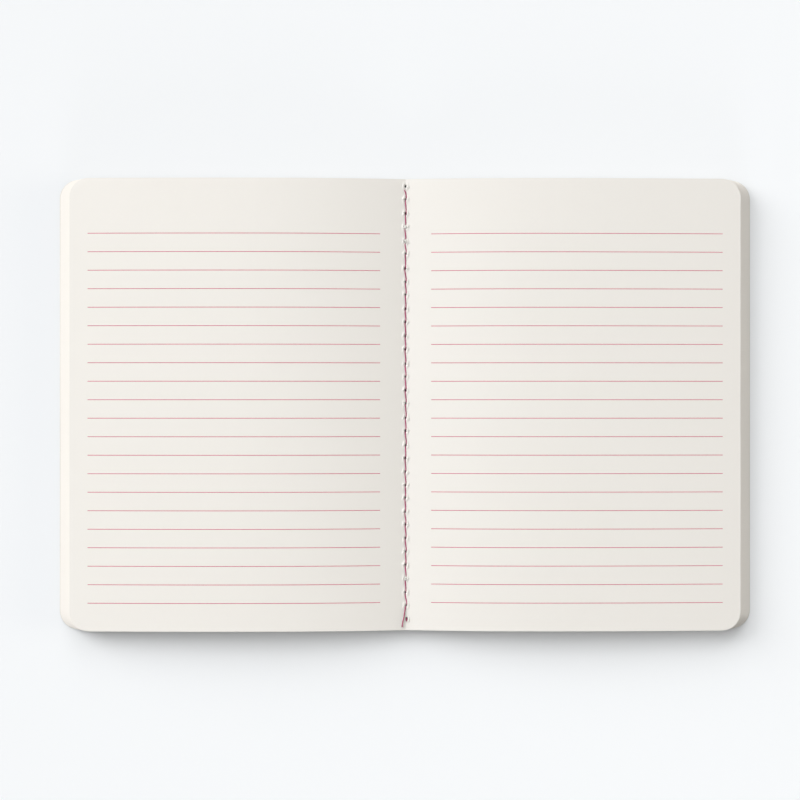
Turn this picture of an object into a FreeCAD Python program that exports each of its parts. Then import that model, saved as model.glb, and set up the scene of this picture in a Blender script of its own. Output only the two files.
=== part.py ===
import FreeCAD, Part
import math
import os

from FreeCAD import Vector

# A stitched composition notebook, lying open and face up at its middle spread.
# Units are millimetres. The fold lies along Y at x = 0, the head of the page is
# towards +Y, and the underside of the cover lies on z = 0. The left half carries
# the front cover, the right half the back cover.

# Leaves
leaf_height = 177.0          # head to tail, all leaves and the cover trimmed alike
top_leaf_width = 131.3       # fold to fore-edge of the leaf that lies on top
fore_edge_creep = 4.65       # how much further the lowest leaf reaches than the top one
corner_radius = 7.4          # die-cut corners at the fore-edge

# Height of each half above its cover
stack_at_fold = 3.5          # leaves pinched by the stitching
crown_rise = 4.6             # how far the leaves arch up out of the fold
crown_distance = 60.0        # from the fold to the highest line of the arch
crown_sharpness = 2.7        # how quickly the arch leaves the fold
edge_drop = 2.2              # how far the arch falls again towards the fore-edge
edge_softness = 1.8          # how gently that fall begins
rising_arcs = 3              # round stretches from the fold up to the crown
falling_arcs = 1             # and from the crown to the fore-edge

# Cover, one folded sheet of card
cover_thickness = 0.4
cover_overhang = 0.3         # beyond the lowest leaf at the fore-edge
crease_land = 0.28           # flat bottom of the crease beside the needle holes
crease_run = 2.0             # width of the crease's slope on each side

# Machine stitching through the fold
thread_diameter = 0.5
thread_sides = 5
thread_clearance = 0.02      # between a thread and the paper or card that it lies on
hole_clearance = 0.07        # between a thread and the sides of a needle hole
stitch_length = 5.31
stitch_head_margin = 2.65    # from the head of the page to the first needle hole
stitch_tail_margin = 4.5     # from the last needle hole to the tail of the page
turn_gap = 0.04              # between the two legs of a thread's turn in a hole
turn_run = 0.33              # how far a leg leans along the fold on its way down
cut_end_gap = 1.6            # from the empty first hole to the cut end of the needle thread
loose_end_margin = 1.5       # from the tip of the loose end to the tail of the page
loose_end_lean = 1.5         # how far the loose end strays to the left
loose_end_curl = 1.3
loose_end_lift = 0.04
loose_end_bends = (0.3, 0.65, 1.0)

# Printed ruling
rule_pitch = 7.22
rule_width = 0.24
rule_film = 0.04             # thickness of the printed line
rule_head_margin = 21.6      # from the head of the page to the first line
rule_tail_margin = 10.0      # least distance from the last line to the tail
rule_inner_margin = 10.0     # from the fold to the start of a line
rule_outer_margin = 7.1      # from the top leaf's fore-edge to the end of a line

# The two halves turn about a line above the fold when the notebook closes
closed_gap = 0.3             # left between the two arches when it is closed

head_y = leaf_height / 2
low_leaf_width = top_leaf_width + fore_edge_creep
cover_width = low_leaf_width + cover_overhang
thread_radius = thread_diameter / 2
hole_half_width = thread_radius + hole_clearance
turn_reach = thread_radius + turn_gap / 2
entry_reach = turn_reach + turn_run
crease_depth = thread_diameter + 2 * thread_clearance
crease_flat = hole_half_width + crease_land
fold_underside_z = crease_depth + cover_thickness
gutter_z = fold_underside_z + stack_at_fold
crown_z = gutter_z + crown_rise
lock_z = (crease_depth + gutter_z) / 2
hinge_z = crown_z + closed_gap / 2
stitch_span = leaf_height - stitch_head_margin - stitch_tail_margin
stitch_count = round(stitch_span / stitch_length)
stitch_pitch = stitch_span / stitch_count
rule_span = leaf_height - rule_head_margin - rule_tail_margin
rule_count = int(rule_span / rule_pitch) + 1


def page_top(distance):
    """Height of the open page at a distance from the fold."""
    if distance <= crown_distance:
        share = 1 - distance / crown_distance
        return crown_z - crown_rise * share ** crown_sharpness
    share = (distance - crown_distance) / (top_leaf_width - crown_distance)
    return crown_z - edge_drop * share ** edge_softness


def hole_y(index):
    """Place of a needle hole along the fold, counted from the head."""
    return head_y - stitch_head_margin - index * stitch_pitch


def arch_arcs():
    """Arcs that make up the open page, from the fold to the fore-edge of the top leaf."""
    rise = [crown_distance * (part / rising_arcs) ** 1.5 for part in range(rising_arcs)]
    beyond = top_leaf_width - crown_distance
    fall = [crown_distance + beyond * part / falling_arcs for part in range(falling_arcs + 1)]
    stations = rise + fall
    arcs = []
    for near, far in zip(stations, stations[1:]):
        through = [Vector(x, 0, page_top(x)) for x in (near, (near + far) / 2, far)]
        arcs.append(Part.Arc(*through))
    return arcs


def lines(points):
    """Straight edges through points given as (x, z)."""
    corners = [Vector(x, 0, z) for x, z in points]
    return [Part.LineSegment(a, b).toShape() for a, b in zip(corners, corners[1:])]


def extruded(edges, start_y, length):
    """A closed outline in XZ, drawn out along Y."""
    face = Part.Face(Part.Wire(Part.sortEdges(edges)[0]))
    face.translate(Vector(0, start_y, 0))
    return face.extrude(Vector(0, length, 0))


def round_fore_edge(solid, nearest_x):
    """Round the two corners that stand up at the fore-edge, from nearest_x outwards."""
    corners = []
    for edge in solid.Edges:
        box = edge.BoundBox
        stands = box.YLength < box.ZLength
        if stands and box.XMin > nearest_x - thread_clearance:
            corners.append(edge)
    return solid.makeFillet(corner_radius, corners)


def needle_holes():
    """Pointed slits along the fold, one for each place where the needle went through."""
    shoulder = entry_reach + thread_radius
    tip = shoulder + hole_half_width
    side = [(hole_half_width, shoulder), (0, tip), (-hole_half_width, shoulder)]
    corners = side + [(-x, -y) for x, y in side]
    holes = []
    for index in range(stitch_count + 1):
        points = [Vector(x, hole_y(index) + y, 0) for x, y in corners]
        slit = Part.Face(Part.makePolygon(points + [points[0]]))
        holes.append(slit.extrude(Vector(0, 0, crown_z)))
    return holes


def page_block():
    """All the leaves of the right half, as they lie on each other."""
    outline = lines([
        (0, gutter_z),
        (0, fold_underside_z),
        (crease_flat, fold_underside_z),
        (crease_flat + crease_run, cover_thickness),
        (low_leaf_width, cover_thickness),
        (top_leaf_width, page_top(top_leaf_width)),
    ])
    outline += [arc.toShape() for arc in arch_arcs()]
    block = extruded(outline, -head_y, leaf_height)
    return round_fore_edge(block, top_leaf_width).cut(needle_holes())


def cover_half():
    """The right half of the folded card, raised into a crease at the fold."""
    outline = lines([
        (0, crease_depth),
        (crease_flat, crease_depth),
        (crease_flat + crease_run, 0),
        (cover_width, 0),
        (cover_width, cover_thickness),
        (crease_flat + crease_run, cover_thickness),
        (crease_flat, fold_underside_z),
        (0, fold_underside_z),
        (0, crease_depth),
    ])
    half = extruded(outline, -head_y, leaf_height)
    return round_fore_edge(half, cover_width).cut(needle_holes())


def ruled_lines():
    """Thin printed lines that follow the arch of the right page."""
    inner, outer = rule_inner_margin, top_leaf_width - rule_outer_margin
    film = Vector(0, 0, rule_film)
    under = []
    for arc in arch_arcs():
        reach = [max(arc.StartPoint.x, inner), min(arc.EndPoint.x, outer)]
        if reach[0] < reach[1]:
            ends = [arc.parameter(Vector(x, 0, page_top(x))) for x in reach]
            under.append(arc.toShape(min(ends), max(ends)))
    over = [edge.translated(film) for edge in under]
    tips = [vertex.Point for edge in under for vertex in edge.Vertexes]
    tips.sort(key=lambda point: point.x)
    sides = [Part.LineSegment(tip, tip + film).toShape() for tip in (tips[0], tips[-1])]
    rules = []
    for index in range(rule_count):
        y = head_y - rule_head_margin - index * rule_pitch
        rules.append(extruded(under + over + sides, y - rule_width / 2, rule_width))
    return Part.makeCompound(rules)


def thread(path):
    """A thread along straight runs, flat sided and mitred where it turns."""
    along = (path[1] - path[0]).normalize()
    across = Vector(1, 0, 0)
    up = along.cross(across)
    ring = []
    for side in range(thread_sides):
        turn = 2 * math.pi * side / thread_sides
        spoke = across * math.cos(turn) + up * math.sin(turn)
        ring.append(path[0] + spoke * thread_radius)
    rings = [ring]
    for index in range(1, len(path)):
        along = (path[index] - path[index - 1]).normalize()
        mitre = Vector(along)
        if index + 1 < len(path):
            mitre = along + (path[index + 1] - path[index]).normalize()
        ring = []
        for corner in rings[-1]:
            reach = (path[index] - corner).dot(mitre) / along.dot(mitre)
            ring.append(corner + along * reach)
        rings.append(ring)
    outlines = [rings[0], rings[-1]]
    for near, far in zip(rings, rings[1:]):
        for side in range(thread_sides):
            after = (side + 1) % thread_sides
            outlines.append([near[side], near[after], far[after], far[side]])
    faces = [Part.Face(Part.makePolygon(points + [points[0]])) for points in outlines]
    body = Part.Solid(Part.Shell(faces))
    if body.Volume < 0:
        body.reverse()
    return body


def stitches(run_z, turn_z, last_hole):
    """Runs of a lockstitch thread along the fold, each turning down into its two holes."""
    points = []
    for index in range(last_hole):
        start_y, end_y = hole_y(index), hole_y(index + 1)
        points.append(Vector(0, start_y - turn_reach, turn_z))
        points.append(Vector(0, start_y - entry_reach, run_z))
        points.append(Vector(0, end_y + entry_reach, run_z))
        points.append(Vector(0, end_y + turn_reach, turn_z))
    return points


def needle_thread():
    """The thread that shows inside, cut short of the first hole and loose at the tail."""
    run_z = gutter_z + thread_clearance + thread_radius
    turn_z = lock_z + thread_radius + thread_clearance / 2
    last_hole = stitch_count - 1
    path = stitches(run_z, turn_z, last_hole)[1:]
    path[0] = Vector(0, hole_y(0) - cut_end_gap, run_z)
    start_y = hole_y(last_hole) - entry_reach
    path.append(Vector(0, hole_y(last_hole) - turn_reach, turn_z))
    path.append(Vector(0, start_y, run_z))
    length = start_y + head_y - loose_end_margin
    for share in loose_end_bends:
        x = -loose_end_lean * share ** loose_end_curl
        z = page_top(abs(x)) + thread_radius + loose_end_lift
        path.append(Vector(x, start_y - length * share, z))
    return thread(path)


def bobbin_thread():
    """The thread on the outside of the spine, sunk in the crease of the cover."""
    run_z = thread_clearance + thread_radius
    turn_z = lock_z - thread_radius - thread_clearance / 2
    return thread(stitches(run_z, turn_z, stitch_count))


def left_of(shape):
    """The same piece on the other side of the fold."""
    return shape.mirror(Vector(0, 0, 0), Vector(1, 0, 0))


back_cover = cover_half()
right_pages = page_block()
right_ruled_lines = ruled_lines()

nodes = {
    "back_cover": back_cover,
    "front_cover": left_of(back_cover),
    "right_pages": right_pages,
    "left_pages": left_of(right_pages),
    "right_ruled_lines": right_ruled_lines,
    "left_ruled_lines": left_of(right_ruled_lines),
    "needle_thread": needle_thread(),
    "bobbin_thread": bobbin_thread(),
}

os.makedirs("parts", exist_ok=True)
for name, shape in nodes.items():
    shape.exportStep("parts/" + name + ".step")
    print(name, "valid", shape.isValid(), "solids", len(shape.Solids), "mm3", round(shape.Volume, 2))
print("stitches", stitch_count, "rules", rule_count, "hinge height", round(hinge_z, 3))
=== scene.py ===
import math

import bmesh
import bpy
import numpy as np
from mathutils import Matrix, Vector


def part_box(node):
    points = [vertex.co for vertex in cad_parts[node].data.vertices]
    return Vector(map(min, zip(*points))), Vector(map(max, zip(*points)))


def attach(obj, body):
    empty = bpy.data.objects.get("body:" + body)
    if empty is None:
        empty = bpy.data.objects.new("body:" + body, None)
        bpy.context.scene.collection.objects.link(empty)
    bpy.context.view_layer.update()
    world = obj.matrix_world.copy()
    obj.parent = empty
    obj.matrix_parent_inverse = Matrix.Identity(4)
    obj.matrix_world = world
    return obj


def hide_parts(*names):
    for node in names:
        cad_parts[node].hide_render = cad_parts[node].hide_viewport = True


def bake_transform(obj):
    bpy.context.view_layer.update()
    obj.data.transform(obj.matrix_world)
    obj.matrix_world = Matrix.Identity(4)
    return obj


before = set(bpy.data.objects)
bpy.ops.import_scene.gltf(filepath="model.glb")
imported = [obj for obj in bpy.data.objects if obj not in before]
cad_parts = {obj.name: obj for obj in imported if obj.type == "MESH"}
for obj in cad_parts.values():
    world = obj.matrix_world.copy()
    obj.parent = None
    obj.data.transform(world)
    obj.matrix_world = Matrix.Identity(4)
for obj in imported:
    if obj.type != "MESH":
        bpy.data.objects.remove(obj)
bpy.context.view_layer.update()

# Cover. One sheet of thick cream card folded down the middle, its corners rounded with the
# leaves when the book was trimmed. The sewing pulls it up into a shallow crease at the fold,
# so it is made here as two halves and the narrow strip between them.
half_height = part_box("back_cover")[1][1]
cover_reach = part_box("back_cover")[1][0]
crease_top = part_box("back_cover")[1][2]
card_thickness = 0.0004
crease_depth = crease_top - card_thickness
crease_flat = 0.0006         # flat bottom of the crease, each side of the fold
crease_end = 0.0030          # where the card lies flat on the table again
card_softness = 0.00008      # rounding of the cut edge of the card
corner_radius = 0.0074
fold_half = 0.0017           # half width of the strip along the fold, where the needle holes are
fold_bend = 0.0036           # each half has close columns out to this distance from the fold
bend_columns, stiff_columns, corner_steps, edge_rows = 14, 30, 8, 30


def crease(x):
    """Height of the card's underside across the fold."""
    share = np.clip((crease_end - np.abs(x)) / (crease_end - crease_flat), 0, 1)
    return crease_depth * share * share * (3 - 2 * share)


def plain_mesh(name, points, faces, kinds):
    """A closed mesh from its points and faces, with a material index for each face."""
    mesh = bpy.data.meshes.new(name)
    mesh.from_pydata([tuple(p) for p in points], [], faces)
    mesh.polygons.foreach_set("material_index", kinds)
    shell = bmesh.new()
    shell.from_mesh(mesh)
    bmesh.ops.recalc_face_normals(shell, faces=shell.faces)
    shell.to_mesh(mesh)
    shell.free()
    piece = bpy.data.objects.new(name, mesh)
    bpy.context.collection.objects.link(piece)
    return piece


def half_outline(reach, high, radius):
    """Edge of the right half: tail from the fold outwards, fore-edge, head back to the fold."""
    near = np.linspace(fold_half, fold_bend, bend_columns)
    far = np.linspace(fold_bend, reach - radius, stiff_columns)[1:]
    turn = np.linspace(0, np.pi / 2, corner_steps + 1)[1:]
    x = np.concatenate([near, far, reach - radius + radius * np.sin(turn)])
    y = np.concatenate([np.full(len(near) + len(far), high), high - radius * (1 - np.cos(turn))])
    side = np.linspace(-1, 1, edge_rows + 1)[1:-1] * (high - radius)
    x = np.concatenate([x, np.full(len(side), reach), x[::-1]])
    y = np.concatenate([-y, side, y[::-1]])
    return x, y


def stacked_half(name, levels, low, high, side):
    """One half, built from outlines at rising shares of its height and closed all round."""
    columns = bend_columns + stiff_columns - 1 + corner_steps
    points, faces, kinds = [], [], []
    for share, reach, top, radius, stray in levels:
        x, y = half_outline(reach, top, radius)
        x = x + stray * np.sin(y * 61 + reach * 9e4) * np.clip(x / reach, 0, 1) ** 8
        z = low(x, y) + (high(x, y) - low(x, y)) * share
        points += list(zip(side * x, y, z))
    around = len(x)
    for level in range(len(levels) - 1):
        for at in range(around - 1):
            a, b = level * around + at, level * around + at + 1
            faces.append((a, b, b + around, a + around))
            kinds.append(1)
    fold_edges = []
    for start, surface in ((0, low), ((len(levels) - 1) * around, high)):
        grid = np.zeros((columns, edge_rows + 1), int)
        for column in range(columns):
            grid[column, 0] = start + column
            grid[column, edge_rows] = start + around - 1 - column
            x, tail_y, _ = points[start + column]
            for row in range(1, edge_rows):
                if column == columns - 1:
                    grid[column, row] = start + column + row
                    continue
                y = tail_y * (1 - 2 * row / edge_rows)
                grid[column, row] = len(points)
                points.append((x, y, float(surface(np.array([x]), np.array([y]))[0])))
        for column in range(columns - 1):
            for row in range(edge_rows):
                faces.append((grid[column, row], grid[column + 1, row],
                              grid[column + 1, row + 1], grid[column, row + 1]))
                kinds.append(0)
        fold_edges.append(list(grid[0]))
    tail_end = [level * around for level in range(len(levels))]
    head_end = [level * around + around - 1 for level in range(len(levels))]
    faces.append(tail_end[:-1] + fold_edges[1] + head_end[-2::-1] + fold_edges[0][-2:0:-1])
    kinds.append(1)
    return plain_mesh(name, points, [tuple(int(i) for i in face) for face in faces], kinds)


def fold_strip(name, levels, low, high, low_rows, high_rows, columns):
    """The strip along the fold between the halves, as closed sections set side by side."""
    points, faces, kinds = [], [], []
    tops = np.array([level[2] for level in levels])
    shares = np.array([level[0] for level in levels])
    high_y = np.linspace(-tops[-1], tops[-1], high_rows + 1)[1:-1]
    low_y = np.linspace(tops[0], -tops[0], low_rows + 1)[1:-1]
    for x in np.linspace(-fold_half, fold_half, columns + 1):
        y = np.concatenate([-tops, high_y, tops[::-1], low_y])
        share = np.concatenate([shares, np.ones(len(high_y)), shares[::-1], np.zeros(len(low_y))])
        across = np.full(len(y), x)
        z = low(across, y) * (1 - share) + high(across, y) * share
        points += list(zip(across, y, z))
    around = len(y)
    on_top = range(len(levels) - 1, len(levels) + len(high_y))
    for column in range(columns):
        for at in range(around):
            a, b = column * around + at, column * around + (at + 1) % around
            faces.append((a, b, b + around, a + around))
            kinds.append(0 if at in on_top or at >= around - len(low_y) - 1 else 1)
    faces.append(tuple(range(around)))
    faces.append(tuple(range(columns * around, (columns + 1) * around)))
    kinds += [1, 1]
    return plain_mesh(name, points, faces, kinds)


def smooth_broad_faces(piece):
    """Smooth shading on the open faces, which end in a crisp line at the cut edges."""
    mesh = piece.data
    for face in mesh.polygons:
        face.use_smooth = face.material_index == 0
        if not face.use_smooth:
            for corner in face.loop_indices:
                mesh.edges[mesh.loops[corner].edge_index].use_edge_sharp = True


def turn_half_way(piece):
    """Bakes the placement of what lies on the fold into its mesh."""
    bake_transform(piece)


def bend_with_fold(left, strip, right):
    """Bakes the placement of the two halves and of the strip between them into their meshes."""
    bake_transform(right)
    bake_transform(left)
    turn_half_way(strip)


def place(tree, kind, inputs=(), **settings):
    """Puts a node into a tree and fills its inputs with values or with other nodes' outputs."""
    made = tree.nodes.new(kind)
    for name, value in settings.items():
        setattr(made, name, value)
    for name, value in dict(inputs).items():
        if isinstance(value, bpy.types.NodeSocket):
            tree.links.new(value, made.inputs[name])
        else:
            made.inputs[name].default_value = value
    return made


def calc(tree, operation, *values):
    """The result of one sum on numbers or on other nodes' outputs."""
    return place(tree, "ShaderNodeMath", dict(enumerate(values)), operation=operation).outputs[0]


def scaled(tree, vector, factor):
    """A vector or a colour times a number."""
    return place(tree, "ShaderNodeVectorMath", {0: vector, 3: factor}, operation="SCALE").outputs[0]


def blank_material(name):
    """A new material and its empty node tree."""
    made = bpy.data.materials.new(name)
    made.use_nodes = True
    made.node_tree.nodes.clear()
    return made, made.node_tree


def new_group(name, kind, inputs, outputs):
    """An empty node group with named inputs and outputs."""
    tree = bpy.data.node_groups.new(name, kind)
    for label, socket, value in inputs:
        made = tree.interface.new_socket(label, in_out="INPUT", socket_type=socket)
        if value is not None:
            made.default_value = value
    for label, socket in outputs:
        tree.interface.new_socket(label, in_out="OUTPUT", socket_type=socket)
    return tree


# Pulp fibre, seen in the card, the leaves and their cut edges: a soft mottle and short fibres.
pulp = new_group("pulp_fibre", "ShaderNodeTree", [
    ("Tone", "NodeSocketColor", (0.8, 0.8, 0.8, 1)),
    ("Mottle", "NodeSocketFloat", 0.02),
    ("Fibre scale", "NodeSocketFloat", 1500.0),
    ("Stretch", "NodeSocketVector", (1, 1, 1)),
], [("Tone", "NodeSocketColor"), ("Height", "NodeSocketFloat")])
entry = place(pulp, "NodeGroupInput")
where = place(pulp, "ShaderNodeTexCoord").outputs["Object"]
stretched = place(pulp, "ShaderNodeVectorMath", {0: where, 1: entry.outputs["Stretch"]},
                  operation="MULTIPLY").outputs[0]
cloud = place(pulp, "ShaderNodeTexNoise", {"Vector": stretched, "Scale": 55.0, "Detail": 5.0})
grain = place(pulp, "ShaderNodeTexNoise", {
    "Vector": stretched, "Scale": entry.outputs["Fibre scale"], "Detail": 3.0,
    "Distortion": 0.6})
both = calc(pulp, "ADD", cloud.outputs["Fac"], grain.outputs["Fac"])
offset = calc(pulp, "SUBTRACT", both, 1.0)
swing = calc(pulp, "MULTIPLY_ADD", offset, entry.outputs["Mottle"], 1.0)
toned = scaled(pulp, entry.outputs["Tone"], swing)
place(pulp, "NodeGroupOutput", {"Tone": toned, "Height": grain.outputs["Fac"]})


def pulp_material(name, tone, mottle, fibre_scale, stretch, relief, roughness):
    """Matt paper or card with its own fibre size, tone and relief, and painted shade that turns it almost
    black inside the needle holes.
    """
    made, tree = blank_material(name)
    fibre = place(tree, "ShaderNodeGroup", node_tree=pulp)
    fibre.inputs["Tone"].default_value = (*tone, 1)
    fibre.inputs["Mottle"].default_value = mottle
    fibre.inputs["Fibre scale"].default_value = fibre_scale
    fibre.inputs["Stretch"].default_value = stretch
    raised = place(tree, "ShaderNodeBump", {
        "Height": fibre.outputs["Height"], "Strength": 1.0, "Distance": relief})
    # Painted shade: the paper is darkened almost to black inside each needle hole, where the deep hole lies
    # in shade.
    hole_shade_share = place(tree, "ShaderNodeAttribute", attribute_name="needle_hole_shade").outputs["Fac"]
    painted_hole_shade = calc(tree, "MULTIPLY_ADD", hole_shade_share, -0.97, 1.0)
    colour = scaled(tree, fibre.outputs["Tone"], painted_hole_shade)
    paper = place(tree, "ShaderNodeBsdfPrincipled", {
        "Base Color": colour, "Normal": raised.outputs["Normal"],
        "Roughness": roughness, "Specular IOR Level": 0.25})
    place(tree, "ShaderNodeOutputMaterial", {"Surface": paper.outputs["BSDF"]})
    return made


card = pulp_material("cream_card", (0.83, 0.80, 0.74), 0.10, 900.0, (1, 1, 1), 0.00002, 0.85)
card_edge = pulp_material("card_cut_edge", (0.80, 0.77, 0.70), 0.14, 2600.0, (1, 1, 3), 0.00003, 0.95)

# Needle holes, driven through leaves and card together by the sewing machine, so the same
# uneven row of holes is used for the card, the leaves, the torn rims and the thread.
stitch_count = 32
first_hole_y = 0.08585
stitch_pitch = 0.005308
feed_drift = 0.0007          # the stitches run a little long over the first half of the fold
hole_stray = 0.00014         # how far a needle hole lies off the fold line
hole_slip = 0.00030          # how far one lies ahead of or behind its turn
rim_radius = 0.00085         # crest of the raised rim round a hole
rim_slope = 0.00034          # how wide its inner slope is, and the range of its outer one
rim_spread = (0.00036, 0.00054)
rim_fade = 0.0004            # the rims die out over this distance from the edge of the strip
burst_holes = [3, 4, 29]     # long tears, where shreds of paper hide the turns of the thread
luck = np.random.default_rng(7)
hole_number = np.arange(stitch_count + 1)
hole_x = luck.uniform(-hole_stray, hole_stray, stitch_count + 1)
hole_y = first_hole_y - stitch_pitch * hole_number + luck.uniform(-hole_slip, hole_slip, stitch_count + 1)
hole_y = hole_y - feed_drift * np.sin(np.pi * hole_number / stitch_count)
hole_size = luck.uniform(0.7, 1.15, stitch_count + 1)
hole_size[burst_holes] = 0.5
hole_size[stitch_count] = 1.3
hole_x[-2:] = 0.00030, 0.00042   # the seam strays towards the right at the tail


def needle_pit(x, y, half_width, half_length):
    """Share of a needle hole at a point, from 0 outside it to 1 at its middle."""
    nearest = np.abs(y[:, None] - hole_y).argmin(1)
    dx, dy = x - hole_x[nearest], y - hole_y[nearest]
    away = np.hypot(dx / half_width, dy / half_length) / hole_size[nearest]
    inside = np.clip(1.6 - 1.2 * away, 0, 1)
    return nearest, dx, dy, inside * inside * (3 - 2 * inside)


def needle_marks(x, y, half_width, half_length, depth, lip, seed):
    """Height that the needle leaves round each hole: a pit inside a torn, raised rim."""
    draw = np.random.default_rng(seed)
    rim = draw.uniform(0.5, 1.2, (stitch_count + 1, 4))
    spread = draw.uniform(*rim_spread, (stitch_count + 1, 2))
    nearest, dx, dy, inside = needle_pit(x, y, half_width, half_length)
    right, up = (dx > 0).astype(int), (dy > 0).astype(int)
    away = np.hypot(dx, 0.75 * dy) * (1 + 0.09 * np.sin(5 * np.arctan2(dy, dx) + 3.0 * nearest))
    slope = np.where(away < rim_radius, rim_slope, spread[nearest, right])
    crest = np.exp(-((away - rim_radius) / slope) ** 2)
    beside = np.clip(np.abs(dx) / (np.abs(dx) + 0.7 * np.abs(dy) + 1e-9), 0, 1)
    torn = 1 + 0.22 * np.sin(dx * 11000 + 2.1 * nearest) * np.cos(dy * 9500 - dx * 4200)
    raised = lip * crest * rim[nearest, 2 * right + up] * torn * (0.2 + 0.8 * beside)
    raised = raised * np.clip((fold_half - np.abs(x)) / rim_fade, 0, 1)
    return raised * (1 - inside) - depth * inside


def mark_hole_shade(piece, half_width, half_length):
    """Writes where the needle holes are, so the material can paint them almost black as painted shade in
    the deep holes.
    """
    points = np.array([v.co[:] for v in piece.data.vertices])
    mask = needle_pit(points[:, 0], points[:, 1], half_width, half_length)[3]
    piece.data.attributes.new("needle_hole_shade", "FLOAT", "POINT").data.foreach_set("value", mask)


card_hole = (0.00030, 0.00050)   # half width and half length of a needle hole in the card
card_pit, card_lip = 0.00034, 0.00003


def card_low(x, y):
    return crease(x)


def card_low_pierced(x, y):
    return crease(x) - needle_marks(x, y, *card_hole, card_pit, card_lip, seed=3)


def card_high(x, y):
    return crease(x) + card_thickness


card_levels = [
    (share, cover_reach - trim, half_height - trim, corner_radius - trim, 0)
    for share, trim in ((0.0, card_softness), (0.2, 0), (0.8, 0), (1.0, card_softness))
]
cover_pieces = [
    stacked_half("front_cover_card", card_levels, card_low, card_high, -1),
    fold_strip("cover_spine_fold", card_levels, card_low_pierced, card_high,
               low_rows=1100, high_rows=2, columns=28),
    stacked_half("back_cover_card", card_levels, card_low, card_high, 1),
]
for piece in cover_pieces:
    piece.data.materials.append(card)
    piece.data.materials.append(card_edge)
    smooth_broad_faces(piece)
# Painted shade in the needle holes of the card.
mark_hole_shade(cover_pieces[1], *card_hole)
bend_with_fold(*cover_pieces)
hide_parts("front_cover")
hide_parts("back_cover")

# Leaves. Thirty-three sheets of cream writing paper, folded and sewn as one section, so every
# sheet runs across the fold. Trimmed after folding, the sheets further out are wider, and each
# one lies on the next with a little air between them towards the fore-edge.
leaf_count = 33
top_reach = 0.1313
low_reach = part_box("right_pages")[1][0]
gutter_height = 0.00444
arch_rise = 0.0046
arch_crown = 0.060
arch_sharpness = 2.25
edge_drop = 0.0022
edge_softness = 1.8
groove_depth = 0.00022       # how far the gap between two leaves goes in
leaf_air = 0.07              # share of a leaf's step that is air
leaf_jitter = 0.00007        # how unevenly the leaves were trimmed
leaf_stray = 0.00004         # slow wander of a cut edge along the fore-edge
thread_bed = 0.00005         # how deep the tight thread presses into the fold
bed_width = 0.00036
bed_fade = 0.001
cockle = 0.00003             # slight unevenness of the open leaf
cockle_start = 0.02          # distance over which it grows from the fold
leaf_hole = (0.00029, 0.00050)   # half width and half length of a needle hole in the top leaf
leaf_pit, leaf_lip = 0.00150, 0.00042


def page_top(x):
    """Height of the open page across the spread."""
    d = np.abs(x)
    rise = gutter_height + arch_rise - arch_rise * np.clip(1 - d / arch_crown, 0, 1) ** arch_sharpness
    fall = np.clip((d - arch_crown) / (top_reach - arch_crown), 0, 1.1)
    return rise - edge_drop * fall ** edge_softness


def leaf_low(x, y):
    return crease(x) + card_thickness


def leaf_high(x, y):
    still = np.clip((np.abs(x) - fold_half) / cockle_start, 0, 1)
    return page_top(x) + cockle * still * np.sin(x * 67 + 2 * np.sin(y * 31)) * np.cos(y * 43 + 1)


def leaf_high_pierced(x, y):
    sewn = np.clip((hole_y[0] - y) / bed_fade, 0, 1) * np.clip((y - hole_y[-1]) / bed_fade, 0, 1)
    pressed = page_top(x) - thread_bed * sewn * np.exp(-(x / bed_width) ** 2)
    return pressed + needle_marks(x, y, *leaf_hole, leaf_pit, leaf_lip, seed=11)


leaf_share = np.concatenate([[0], np.cumsum(luck.uniform(0.7, 1.3, leaf_count))])
leaf_share = leaf_share / leaf_share[-1]
leaf_reach = low_reach + (top_reach - low_reach) * np.linspace(0, 1, leaf_count)
leaf_reach[:-1] += luck.uniform(-leaf_jitter, leaf_jitter, leaf_count - 1)
leaf_trim = half_height - luck.uniform(0, leaf_jitter, leaf_count)
leaf_levels = []
for leaf in range(leaf_count):
    lower, upper = leaf_share[leaf], leaf_share[leaf + 1]
    air = leaf_air * (upper - lower)
    stray = leaf_stray if leaf < leaf_count - 1 else 0
    for share in (lower + air * (leaf > 0), upper - air * (leaf < leaf_count - 1)):
        leaf_levels.append((share, leaf_reach[leaf], leaf_trim[leaf], corner_radius, stray))
    if leaf < leaf_count - 1:
        depth = groove_depth * luck.uniform(0.7, 1.5)
        inner = min(leaf_reach[leaf], leaf_reach[leaf + 1]) - depth
        trim = min(leaf_trim[leaf], leaf_trim[leaf + 1]) - depth
        leaf_levels.append((upper, inner, trim, corner_radius - depth, 0))

page_paper = pulp_material("page_paper", (0.840, 0.813, 0.769), 0.015, 1500.0, (1, 1, 1),
                           0.000006, 0.9)
# Painted light: the cut edges are the same paper as the pages, given a paler tone that stands in for the
# light the table and the leaves would bounce onto them, which the lamps leave out; they are also a little
# warmer.
cut_edges = pulp_material("leaf_cut_edges", (0.952, 0.914, 0.857), 0.05, 3000.0, (0.3, 0.3, 4),
                          0.00001, 0.95)
leaf_pieces = [
    stacked_half("left_leaves", leaf_levels, leaf_low, leaf_high, -1),
    fold_strip("leaves_fold", leaf_levels, leaf_low, leaf_high_pierced,
               low_rows=2, high_rows=1180, columns=30),
    stacked_half("right_leaves", leaf_levels, leaf_low, leaf_high, 1),
]
for piece in leaf_pieces:
    piece.data.materials.append(page_paper)
    piece.data.materials.append(cut_edges)
    smooth_broad_faces(piece)
# Painted shade in the needle holes of the top leaf.
mark_hole_shade(leaf_pieces[1], *leaf_hole)
bend_with_fold(*leaf_pieces)
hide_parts("left_pages")
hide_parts("right_pages")

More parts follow.
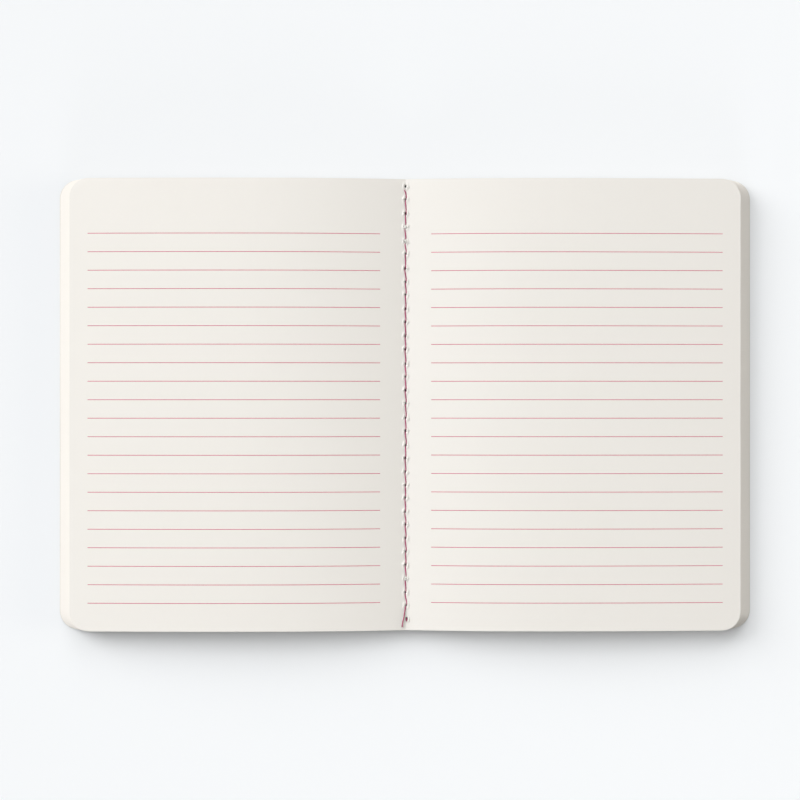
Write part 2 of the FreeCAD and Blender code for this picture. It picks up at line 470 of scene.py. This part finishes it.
# Torn rims. The needle came up from the spine and burst the top leaf at every hole, so small
# white petals of torn paper stand up on both sides of the thread, and lie over the worst tears.
torn = new_group("torn_petals", "GeometryNodeTree", [
    ("Geometry", "NodeSocketGeometry", None),
    ("Petals per hole", "NodeSocketInt", 8),
    ("Reach", "NodeSocketFloat", 0.00042),
    ("Length", "NodeSocketFloat", 0.00062),
    ("Width", "NodeSocketFloat", 0.00026),
    ("Raggedness", "NodeSocketFloat", 0.00020),
    ("Paper", "NodeSocketMaterial", None),
], [("Geometry", "NodeSocketGeometry")])
entry = place(torn, "NodeGroupInput").outputs


def chance(low, high, seed):
    """A number between low and high that differs from petal to petal."""
    return place(torn, "FunctionNodeRandomValue", {2: low, 3: high, 8: seed},
                 data_type="FLOAT").outputs[1]


def product(a, b):
    return calc(torn, "MULTIPLY", a, b)


many = place(torn, "GeometryNodeDuplicateElements", {
    "Geometry": entry["Geometry"], "Amount": entry["Petals per hole"]}, domain="POINT")
odd = calc(torn, "MODULO", many.outputs["Duplicate Index"], 2.0)
side = calc(torn, "MULTIPLY_ADD", odd, 2.0, -1.0)
spot = place(torn, "ShaderNodeCombineXYZ", {
    "X": product(product(entry["Reach"], side), chance(0.8, 1.3, 1)),
    "Y": product(entry["Reach"], chance(-1.5, 1.5, 2))}).outputs[0]
spread = place(torn, "GeometryNodeSetPosition", {
    "Geometry": many.outputs["Geometry"], "Offset": spot}).outputs[0]
petal = place(torn, "GeometryNodeMeshCone", {
    "Vertices": 8, "Side Segments": 4, "Radius Top": product(entry["Width"], 0.35),
    "Radius Bottom": entry["Width"], "Depth": entry["Length"]}).outputs["Mesh"]
turn = place(torn, "ShaderNodeCombineXYZ", {
    "Y": product(side, chance(0.95, 1.35, 4)), "Z": chance(-0.8, 0.8, 5)}).outputs[0]
shape = place(torn, "ShaderNodeCombineXYZ", {
    "X": chance(0.16, 0.30, 6), "Y": chance(0.6, 1.3, 7), "Z": chance(0.6, 1.3, 8)}).outputs[0]
placed = place(torn, "GeometryNodeInstanceOnPoints", {
    "Points": spread, "Instance": petal, "Rotation": turn, "Scale": shape}).outputs[0]
real = place(torn, "GeometryNodeRealizeInstances", {"Geometry": placed}).outputs[0]
here = place(torn, "GeometryNodeInputPosition").outputs[0]
wild = place(torn, "ShaderNodeTexNoise", {"Vector": here, "Scale": 2400.0, "Detail": 1.0})
centred = place(torn, "ShaderNodeVectorMath", {0: wild.outputs["Color"], 1: (0.5, 0.5, 0.5)},
                operation="SUBTRACT").outputs[0]
pull = scaled(torn, centred, entry["Raggedness"])
ragged = place(torn, "GeometryNodeSetPosition", {"Geometry": real, "Offset": pull}).outputs[0]
soft = place(torn, "GeometryNodeSetShadeSmooth", {"Geometry": ragged}).outputs[0]
white = place(torn, "GeometryNodeSetMaterial", {"Geometry": soft, "Material": entry["Paper"]}).outputs[0]
place(torn, "NodeGroupOutput", {"Geometry": white})


def grown(name, tree, values, points=()):
    """The plain mesh that a geometry tree makes from named values and starting points."""
    seed = bpy.data.meshes.new(name)
    seed.from_pydata([tuple(p) for p in points], [], [])
    carrier = bpy.data.objects.new(name, seed)
    bpy.context.collection.objects.link(carrier)
    steps = carrier.modifiers.new(name, "NODES")
    steps.node_group = tree
    for item in tree.interface.items_tree:
        if item.in_out == "INPUT" and item.name in values:
            steps[item.identifier] = values[item.name]
    bpy.context.view_layer.update()
    done = carrier.evaluated_get(bpy.context.evaluated_depsgraph_get())
    mesh = bpy.data.meshes.new_from_object(done)
    carrier.modifiers.remove(steps)
    carrier.data = mesh
    return carrier


rim_height = gutter_height + 0.00012
for name, holes, values in (
    ("torn_rims", hole_number, {}),
    ("torn_shreds", burst_holes, {"Reach": -0.00038, "Length": 0.00085, "Width": 0.00036}),
):
    petals = grown(name, torn, {"Paper": page_paper, **values},
                   [(hole_x[at], hole_y[at], rim_height) for at in holes])
    turn_half_way(petals)

# Ruling. Twenty-one thin dusty red lines printed on each page, short of the fold and of the
# fore-edge, with a deep margin at the head. The ink lies on the paper as a film.
rule_low, rule_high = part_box("right_ruled_lines")
rule_count = 21
rule_width = 0.00024
rule_film = 0.00003
rule_pitch = (rule_high[1] - rule_low[1] - rule_width) / (rule_count - 1)
rule_length = rule_high[0] - rule_low[0]

ink, tree = blank_material("ruling_ink")
where = place(tree, "ShaderNodeTexCoord").outputs["Object"]
flow = place(tree, "ShaderNodeTexNoise", {"Vector": where, "Scale": 700.0, "Detail": 3.0})
tint = place(tree, "ShaderNodeValToRGB", {"Fac": flow.outputs["Fac"]})
tint.color_ramp.elements[0].position = 0.3
tint.color_ramp.elements[0].color = (0.52, 0.052, 0.12, 1)
tint.color_ramp.elements[1].position = 0.7
tint.color_ramp.elements[1].color = (0.64, 0.110, 0.18, 1)
printed = place(tree, "ShaderNodeBsdfPrincipled", {
    "Base Color": tint.outputs["Color"], "Roughness": 0.8, "Specular IOR Level": 0.2})
place(tree, "ShaderNodeOutputMaterial", {"Surface": printed.outputs["BSDF"]})

ruling = new_group("page_ruling", "GeometryNodeTree", [
    ("Geometry", "NodeSocketGeometry", None),
    ("Page", "NodeSocketObject", None),
    ("Lines", "NodeSocketInt", rule_count),
    ("First line", "NodeSocketVector", (0, 0, 0)),
    ("Pitch", "NodeSocketFloat", rule_pitch),
    ("Length", "NodeSocketFloat", rule_length),
    ("Width", "NodeSocketFloat", rule_width),
    ("Film", "NodeSocketFloat", rule_film),
    ("Ink", "NodeSocketMaterial", None),
], [("Geometry", "NodeSocketGeometry")])
entry = place(ruling, "NodeGroupInput").outputs
down = calc(ruling, "MULTIPLY", entry["Pitch"], -1.0)
step = place(ruling, "ShaderNodeCombineXYZ", {"Y": down}).outputs[0]
starts = place(ruling, "GeometryNodeMeshLine", {
    "Count": entry["Lines"], "Start Location": entry["First line"], "Offset": step}).outputs[0]
bar = place(ruling, "ShaderNodeCombineXYZ", {
    "X": entry["Length"], "Y": entry["Width"], "Z": entry["Film"]}).outputs[0]
line = place(ruling, "GeometryNodeMeshCube", {
    "Size": bar, "Vertices X": 60, "Vertices Y": 2, "Vertices Z": 2}).outputs["Mesh"]
rows = place(ruling, "GeometryNodeInstanceOnPoints", {"Points": starts, "Instance": line}).outputs[0]
real = place(ruling, "GeometryNodeRealizeInstances", {"Geometry": rows}).outputs[0]
page = place(ruling, "GeometryNodeObjectInfo", {"Object": entry["Page"]}).outputs["Geometry"]
here = place(ruling, "GeometryNodeInputPosition").outputs[0]
split = place(ruling, "ShaderNodeSeparateXYZ", {0: here}).outputs
above = place(ruling, "ShaderNodeCombineXYZ", {"X": split["X"], "Y": split["Y"], "Z": 0.05}).outputs[0]
touch = place(ruling, "GeometryNodeRaycast", {
    "Target Geometry": page, "Source Position": above, "Ray Direction": (0, 0, -1),
    "Ray Length": 0.1}).outputs["Hit Position"]
ground = place(ruling, "ShaderNodeSeparateXYZ", {0: touch}).outputs["Z"]
lift = place(ruling, "ShaderNodeCombineXYZ", {"Z": ground}).outputs[0]
laid = place(ruling, "GeometryNodeSetPosition", {"Geometry": real, "Offset": lift}).outputs[0]
inked = place(ruling, "GeometryNodeSetMaterial", {"Geometry": laid, "Material": entry["Ink"]}).outputs[0]
place(ruling, "NodeGroupOutput", {"Geometry": inked})

for name, page, side, node, body in (
    ("left_page_ruling", leaf_pieces[0], -1, "left_ruled_lines", "front_half"),
    ("right_page_ruling", leaf_pieces[2], 1, "right_ruled_lines", "back_half"),
):
    middle = side * (rule_low[0] + rule_high[0]) / 2
    first = (middle, rule_high[1] - rule_width / 2, 0)
    lines = grown(name, ruling, {"Page": page, "First line": first, "Ink": ink})
    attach(lines, body)
    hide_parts(node)

# Sewing thread. Two crimson cotton threads of three plies, locked together inside each needle
# hole. The needle thread shows on the open spread, slanting a little from hole to hole, and
# ends in a loose tail; the bobbin thread runs outside the spine in the crease of the card.
thread_radius = 0.00025
ply_depth = 0.00005
ply_twist = 0.0011           # length of one full turn of the plies
thread_rest = 0.00003        # gap between the thread and what it lies on
thread_seat = 0.00020        # how far below the gutter the inside thread is pulled
lock_z = 0.00249             # where the two threads lock, in the middle of the section
lock_half = 0.0003           # how far each thread stays from there
tear_half = 0.00035          # the inside thread turns down this much further out at a long tear
turn_deep, turn_down, turn_over, turn_flat = 0.00018, 0.00030, 0.00062, 0.00125   # from a hole

sewing, tree = blank_material("sewing_thread")
where = place(tree, "ShaderNodeTexCoord").outputs["Object"]
strand = place(tree, "ShaderNodeTexNoise", {"Vector": where, "Scale": 5200.0, "Detail": 4.0})
wander = place(tree, "ShaderNodeTexNoise", {"Vector": where, "Scale": 260.0, "Detail": 2.0})
uneven = calc(tree, "ADD", strand.outputs["Fac"], wander.outputs["Fac"])
dye = place(tree, "ShaderNodeValToRGB", {"Fac": calc(tree, "MULTIPLY", uneven, 0.5)})
dye.color_ramp.elements[0].position = 0.32
dye.color_ramp.elements[0].color = (0.36, 0.030, 0.11, 1)
dye.color_ramp.elements[1].position = 0.68
dye.color_ramp.elements[1].color = (0.65, 0.105, 0.25, 1)
raised = place(tree, "ShaderNodeBump", {
    "Height": strand.outputs["Fac"], "Strength": 1.0, "Distance": 0.00002})
cotton = place(tree, "ShaderNodeBsdfPrincipled", {
    "Base Color": dye.outputs["Color"], "Normal": raised.outputs["Normal"], "Roughness": 0.75,
    "Sheen Weight": 0.35, "Sheen Roughness": 0.4, "Specular IOR Level": 0.3})
place(tree, "ShaderNodeOutputMaterial", {"Surface": cotton.outputs["BSDF"]})

plied = new_group("plied_thread", "GeometryNodeTree", [
    ("Geometry", "NodeSocketGeometry", None),
    ("Route", "NodeSocketObject", None),
    ("Radius", "NodeSocketFloat", thread_radius),
    ("Ply depth", "NodeSocketFloat", ply_depth),
    ("Twist", "NodeSocketFloat", ply_twist),
    ("Step", "NodeSocketFloat", 0.00009),
    ("Thread", "NodeSocketMaterial", None),
], [("Geometry", "NodeSocketGeometry")])
entry = place(plied, "NodeGroupInput").outputs
route = place(plied, "GeometryNodeObjectInfo", {"Object": entry["Route"]}).outputs["Geometry"]
even = place(plied, "GeometryNodeResampleCurve", {
    "Curve": route, "Length": entry["Step"]}, mode="LENGTH").outputs[0]
length = place(plied, "GeometryNodeSplineParameter").outputs["Length"]
turns = calc(plied, "DIVIDE", length, entry["Twist"])
tilt = calc(plied, "MULTIPLY", turns, 2 * math.pi)
twisted = place(plied, "GeometryNodeSetCurveTilt", {"Curve": even, "Tilt": tilt}).outputs[0]
ring = place(plied, "GeometryNodeCurvePrimitiveCircle", {
    "Resolution": 15, "Radius": entry["Radius"]}, mode="RADIUS").outputs["Curve"]
spot = place(plied, "GeometryNodeInputPosition").outputs[0]
flat = place(plied, "ShaderNodeSeparateXYZ", {0: spot}).outputs
bearing = calc(plied, "ARCTAN2", flat["Y"], flat["X"])
wave = calc(plied, "COSINE", calc(plied, "MULTIPLY", bearing, 3.0))
cut = calc(plied, "SUBTRACT", wave, 1.0)
share = calc(plied, "DIVIDE", entry["Ply depth"], entry["Radius"])
notch = scaled(plied, spot, calc(plied, "MULTIPLY", cut, share))
trefoil = place(plied, "GeometryNodeSetPosition", {"Geometry": ring, "Offset": notch}).outputs[0]
skin = place(plied, "GeometryNodeCurveToMesh", {
    "Curve": twisted, "Profile Curve": trefoil, "Fill Caps": True}).outputs[0]
smooth = place(plied, "GeometryNodeSetShadeSmooth", {"Geometry": skin}).outputs[0]
dyed = place(plied, "GeometryNodeSetMaterial", {"Geometry": smooth, "Material": entry["Thread"]}).outputs[0]
place(plied, "NodeGroupOutput", {"Geometry": dyed})


def thread_piece(name, runs, values=()):
    """Plied thread along a smooth line near each list of points."""
    curve = bpy.data.curves.new(name + "_route", "CURVE")
    curve.dimensions = "3D"
    for points in runs:
        spline = curve.splines.new("NURBS")
        spline.points.add(len(points) - 1)
        for at, (x, y, z) in enumerate(points):
            spline.points[at].co = (x, y, z, 1)
        spline.order_u = 3
        spline.use_endpoint_u = True
        spline.resolution_u = 6
    route = bpy.data.objects.new(name + "_route", curve)
    bpy.context.collection.objects.link(route)
    piece = grown(name, plied, {"Route": route, "Thread": sewing, **dict(values)})
    bpy.data.objects.remove(route)
    turn_half_way(piece)
    return piece


def lockstitches(surface_z, outward, turn_z, slant, hump, last):
    """Points of a thread that lies on the fold and turns down into each hole."""
    points = []
    over = outward * (thread_radius + thread_rest)
    edge_z, hump_z = surface_z - over * 0.6, surface_z + over * hump
    slope_z = surface_z + over * (1 + hump) / 2
    for at in range(last):
        tear, next_tear = [tear_half * (outward > 0) * (hole in burst_holes) for hole in (at, at + 1)]
        x0, y0 = hole_x[at] - slant, hole_y[at] - tear
        x1, y1 = hole_x[at + 1] + slant, hole_y[at + 1] + next_tear
        points += [
            (x0, y0 - turn_deep, turn_z), (x0, y0 - turn_down, edge_z), (x0, y0 - turn_over, hump_z),
            (x0 * 0.8, y0 - turn_flat, slope_z),
            ((x0 + x1) / 2, (y0 + y1) / 2, surface_z + over),
            (x1 * 0.8, y1 + turn_flat, slope_z),
            (x1, y1 + turn_over, hump_z), (x1, y1 + turn_down, edge_z), (x1, y1 + turn_deep, turn_z),
        ]
    return points


# The inside thread starts at a cut end below the bare first hole. Its tail comes up at the last
# stitch but one and lies loose towards the left, and the bobbin thread ends up in the last hole.
inside = lockstitches(gutter_height - thread_seat, 1, lock_z + lock_half,
                      slant=0.00020, hump=1.1, last=stitch_count - 1)
cut_end = (-0.00034, hole_y[0] - 0.0018, gutter_height + 0.00015)
tail_y = hole_y[stitch_count - 1]
tail = [
    (0, tail_y - turn_deep, lock_z + lock_half), (0, tail_y - turn_down, gutter_height - 0.00015),
    (-0.00005, tail_y - 0.0007, gutter_height + 0.00034),
    (-0.00030, tail_y - 0.0022, gutter_height + 0.00040),
    (-0.00070, tail_y - 0.0048, gutter_height + 0.00055),
    (-0.00122, tail_y - 0.0068, gutter_height + 0.00066),
    (-0.00130, tail_y - 0.0076, gutter_height + 0.00070),
]
needle_plies = thread_piece("needle_thread_plies", [[cut_end] + inside[4:] + tail])
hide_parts("needle_thread")
outside = lockstitches(crease_depth, -1, lock_z - lock_half, slant=-0.00010, hump=0.9, last=stitch_count)
last_x, last_y, _ = outside.pop()
outside += [
    (last_x, last_y + 0.0001, gutter_height - 0.0008), (last_x + 0.0001, last_y, gutter_height - 0.0001),
    (last_x + 0.0001, last_y - 0.0007, gutter_height + 0.0001),
]
bobbin_plies = thread_piece("bobbin_thread_plies", [outside])
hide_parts("bobbin_thread")

# Frayed ends. Where the two threads were cut off, their plies untwist into a few fine fibres,
# which spread and lift a little as they leave the twist.
fibre_count = 9
fibre_radius = 0.00005
fibre_spacing = 0.0004       # how far apart the fibres lie as they leave the thread
fibres = []
for (x, y, z), heading, length in ((tail[-1], -1, 0.0012), (cut_end, 1, 0.0005), (outside[-1], -1, 0.0006)):
    for fibre in range(fibre_count):
        aside, lift, reach = luck.uniform(-0.35, 0.35), luck.uniform(-0.05, 0.3), luck.uniform(0.5, 1)
        start = (x + aside * fibre_spacing, y - heading * 0.0002, z + (lift - 0.1) * 0.0005)
        reach = reach * length
        middle = (start[0] + aside * reach * 0.3, y + heading * reach * 0.5, start[2] + lift * reach * 0.3)
        tip = (start[0] + aside * reach, y + heading * reach, start[2] + lift * reach)
        fibres.append([start, middle, tip])
thread_piece("frayed_fibres", fibres, {"Radius": fibre_radius, "Ply depth": fibre_radius / 5})

# Table and studio. A plain pale table, soft light from the upper left and from above, and the
# camera almost straight above the spread, as in the photograph.
paper_plane = gutter_height + arch_rise
pixel = 0.0003900            # size of one photograph pixel on the paper
photo_width = 800
book_centre_px = (405.75, 404.65)
camera_height = 0.700
camera_offset = -0.0073      # the camera stands a little left of the point it looks at

table_drop = 0.00002         # keeps the table just clear of the card
table_tone = (0.922, 0.939, 0.957)
sky_level = 0.18             # the even light from all round
window_distance = 4.6
falloff_x, falloff_y = -0.237, 0.137   # how the near windows fade across the table, per metre
table_clear, table_end = 0.25, 0.70    # from here to there the table fades into the backdrop
backdrop_tone, backdrop_level = (0.985, 0.995, 1, 1), 0.93


def looked_at(tree):
    """1 where the camera sees a thing, straight or through a gloss or glass, and 0 for its light."""
    rays = place(tree, "ShaderNodeLightPath").outputs
    through = calc(tree, "MAXIMUM", rays["Is Glossy Ray"], rays["Is Transmission Ray"])
    return calc(tree, "MAXIMUM", rays["Is Camera Ray"], through)


bpy.ops.mesh.primitive_plane_add(size=8, location=(0, 0, -table_drop))
table = bpy.context.object
table.name = "table_top"
surface, tree = blank_material("pale_table")
where = place(tree, "ShaderNodeTexCoord").outputs["Object"]
slope = place(tree, "ShaderNodeVectorMath", {0: where, 1: (-falloff_x, -falloff_y, 0)},
              operation="DOT_PRODUCT").outputs["Value"]
level = place(tree, "ShaderNodeMapRange", {
    "Value": slope, "From Min": -0.1, "From Max": 0.1, "To Min": 0.9, "To Max": 1.1}).outputs["Result"]
pale = place(tree, "ShaderNodeBsdfDiffuse", {"Color": scaled(tree, table_tone, level)})
reach = place(tree, "ShaderNodeVectorMath", {0: where}, operation="LENGTH").outputs["Value"]
far = place(tree, "ShaderNodeMapRange", {
    "Value": reach, "From Min": table_clear, "From Max": table_end}).outputs["Result"]
haze = calc(tree, "MULTIPLY", far, looked_at(tree))
distance_tone = place(tree, "ShaderNodeEmission", {"Color": backdrop_tone, "Strength": backdrop_level})
mixed = place(tree, "ShaderNodeMixShader", {0: haze, 1: pale.outputs[0], 2: distance_tone.outputs[0]})
place(tree, "ShaderNodeOutputMaterial", {"Surface": mixed.outputs[0]})
table.data.materials.append(surface)


def soft_light(name, azimuth, elevation, spread, share, distance=None, tone=(1, 1, 1)):
    """A soft lamp, either far off or a round window at a distance in metres.

    Share is the part of full brightness that it gives a level surface at the origin. What the
    pale paper would throw back onto the table is left out, wholly for a window and nearly so
    for a far lamp, because the photograph shows next to none.
    """
    high = math.sin(math.radians(elevation))
    lamp = bpy.data.lights.new(name, "AREA" if distance else "SUN")
    lamp.color = tone
    lamp.cycles.max_bounces = 0
    lamp.cycles.use_multiple_importance_sampling = distance is None
    holder = bpy.data.objects.new(name, lamp)
    bpy.context.collection.objects.link(holder)
    holder.rotation_euler = (0, math.radians(90 - elevation), math.radians(azimuth))
    if distance:
        lamp.shape = "DISK"
        lamp.size = 2 * distance * math.tan(math.radians(spread / 2))
        shortfall = math.cos(math.radians(spread / 2)) ** 2
        lamp.energy = share * (math.pi * distance) ** 2 / (high * shortfall)
        flat = distance * math.cos(math.radians(elevation))
        turn = math.radians(azimuth)
        holder.location = (flat * math.cos(turn), flat * math.sin(turn), distance * high)
    else:
        lamp.angle = math.radians(spread)
        lamp.energy = share * math.pi / high


soft_light("high_window", 150, 60, 60, 0.327, window_distance)
soft_light("middle_window", 150, 35, 50, 0.094, window_distance)
soft_light("low_window", 150, 20, 40, 0.195, window_distance)
soft_light("high_top_window", 90, 50, 60, 0.049)
soft_light("low_top_window", 90, 30, 40, 0.114)
soft_light("right_side_fill", 0, 12, 20, 0.036, tone=(1, 0.93, 0.74))
soft_light("front_fill", 270, 8, 14, 0.022)
world = bpy.data.worlds.new("studio")
world.use_nodes = True
tree = world.node_tree
tree.nodes.clear()
strength = place(tree, "ShaderNodeMapRange", {
    "Value": looked_at(tree), "To Min": sky_level, "To Max": backdrop_level}).outputs["Result"]
glow = place(tree, "ShaderNodeBackground", {"Color": backdrop_tone, "Strength": strength})
place(tree, "ShaderNodeOutputWorld", {"Surface": glow.outputs[0]})
bpy.context.scene.world = world

lens = bpy.data.cameras.new("camera")
camera = bpy.data.objects.new("camera", lens)
bpy.context.collection.objects.link(camera)
lens.sensor_width = 36
lens.lens = lens.sensor_width * camera_height / (photo_width * pixel)
aim = ((photo_width / 2 - book_centre_px[0]) * pixel, (book_centre_px[1] - photo_width / 2) * pixel)
camera.location = (aim[0] + camera_offset, aim[1], paper_plane + camera_height)
camera.rotation_euler = (0, math.atan(camera_offset / camera_height), 0)
lens.clip_start, lens.clip_end = 0.01, 20
bpy.context.scene.camera = camera
bpy.context.scene.view_settings.view_transform = "Standard"
